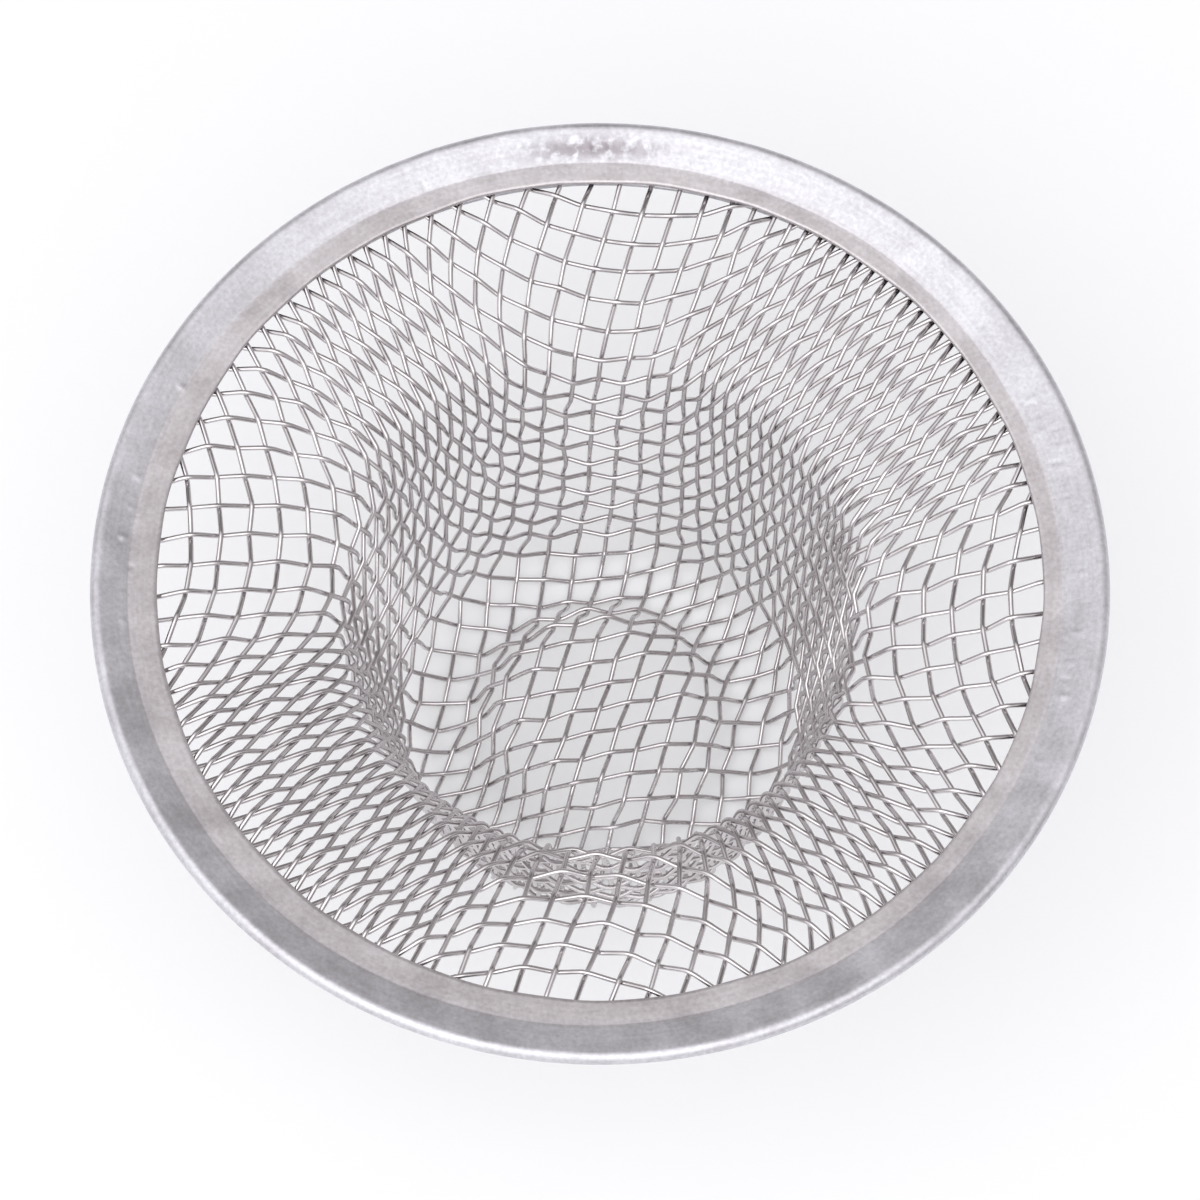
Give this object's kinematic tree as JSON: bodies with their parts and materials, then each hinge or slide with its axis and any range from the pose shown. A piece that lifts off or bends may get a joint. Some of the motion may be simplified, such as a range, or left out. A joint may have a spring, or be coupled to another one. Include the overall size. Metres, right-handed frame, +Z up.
{
  "type": "drain hair catcher",
  "caption": "Round drain hair catcher: a woven stainless wire basket with a raised floor, flared at the top and clamped in a folded sheet rim.",
  "frame": {"origin": "on the axis, at the level of the lowest floor wires that the basket stands on", "axes": "+Z up the axis from the basket floor to the rim; +X close to the middle weft wire"},
  "size_m": [0.07, 0.07, 0.0317],
  "materials": {
    "rim_sheet": "satin rolled stainless sheet",
    "cloth_wire": "drawn stainless wire"
  },
  "bodies": {
    "root": {"rim_ring": "rim_sheet", "warp_wire_left_01": "cloth_wire", "warp_wire_left_02": "cloth_wire", "warp_wire_left_03": "cloth_wire", "warp_wire_left_04": "cloth_wire", "warp_wire_left_05": "cloth_wire", "warp_wire_left_06": "cloth_wire", "warp_wire_left_07": "cloth_wire", "warp_wire_left_08": "cloth_wire", "warp_wire_left_09": "cloth_wire", "warp_wire_left_10": "cloth_wire", "warp_wire_left_11": "cloth_wire", "warp_wire_left_12": "cloth_wire", "warp_wire_left_13": "cloth_wire", "warp_wire_right_01": "cloth_wire", "warp_wire_right_02": "cloth_wire", "warp_wire_right_03": "cloth_wire", "warp_wire_right_04": "cloth_wire", "warp_wire_right_05": "cloth_wire", "warp_wire_right_06": "cloth_wire", "warp_wire_right_07": "cloth_wire", "warp_wire_right_08": "cloth_wire", "warp_wire_right_09": "cloth_wire", "warp_wire_right_10": "cloth_wire", "warp_wire_right_11": "cloth_wire", "warp_wire_right_12": "cloth_wire", "warp_wire_right_13": "cloth_wire", "weft_wire_back_01": "cloth_wire", "weft_wire_back_02": "cloth_wire", "weft_wire_back_03": "cloth_wire", "weft_wire_back_04": "cloth_wire", "weft_wire_back_05": "cloth_wire", "weft_wire_back_06": "cloth_wire", "weft_wire_back_07": "cloth_wire", "weft_wire_back_08": "cloth_wire", "weft_wire_back_09": "cloth_wire", "weft_wire_back_10": "cloth_wire", "weft_wire_back_11": "cloth_wire", "weft_wire_back_12": "cloth_wire", "weft_wire_back_13": "cloth_wire", "weft_wire_front_01": "cloth_wire", "weft_wire_front_02": "cloth_wire", "weft_wire_front_03": "cloth_wire", "weft_wire_front_04": "cloth_wire", "weft_wire_front_05": "cloth_wire", "weft_wire_front_06": "cloth_wire", "weft_wire_front_07": "cloth_wire", "weft_wire_front_08": "cloth_wire", "weft_wire_front_09": "cloth_wire", "weft_wire_front_10": "cloth_wire", "weft_wire_front_11": "cloth_wire", "weft_wire_front_12": "cloth_wire", "weft_wire_front_13": "cloth_wire"}
  },
  "joints": []
}
